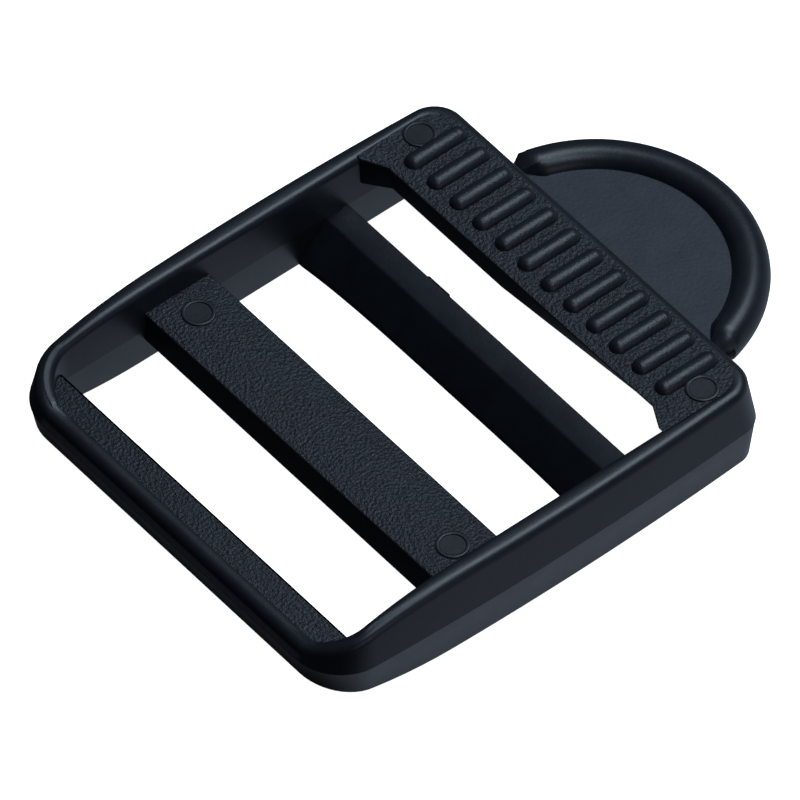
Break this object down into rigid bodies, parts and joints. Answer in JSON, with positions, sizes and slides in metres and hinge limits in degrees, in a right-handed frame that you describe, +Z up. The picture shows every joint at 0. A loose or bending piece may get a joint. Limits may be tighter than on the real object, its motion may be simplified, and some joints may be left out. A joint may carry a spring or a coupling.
{
  "type": "ladder-lock strap slider",
  "caption": "One-piece moulded strap adjuster: a frame crossed by end, flat, tension and ribbed grip bars, with a beaded thumb tab that lifts to loosen the webbing.",
  "frame": {"origin": "middle of the plan, at the level that the side rails rest on", "axes": "+X along the bars, +Y with the strap from the end bar to the thumb tab, +Z up, out of the ribbed face"},
  "size_m": [0.0296, 0.0414, 0.0065],
  "materials": {
    "moulding": "black acetal, injection moulded, spark-eroded texture on the bar tops, satin elsewhere",
    "tab_face": "black acetal, injection moulded, smooth matt"
  },
  "bodies": {
    "root": {"left_rail": "moulding", "right_rail": "moulding", "end_bar": "moulding", "flat_bar": "moulding", "tension_bar": "moulding", "grip_bar": "moulding", "rear_wall": "moulding", "corner_webs": "moulding", "grip_ribs": "moulding", "tab_plate": "tab_face", "tab_bead": "moulding", "ejector_marks": "moulding", "gate_stub": "moulding"}
  },
  "joints": []
}
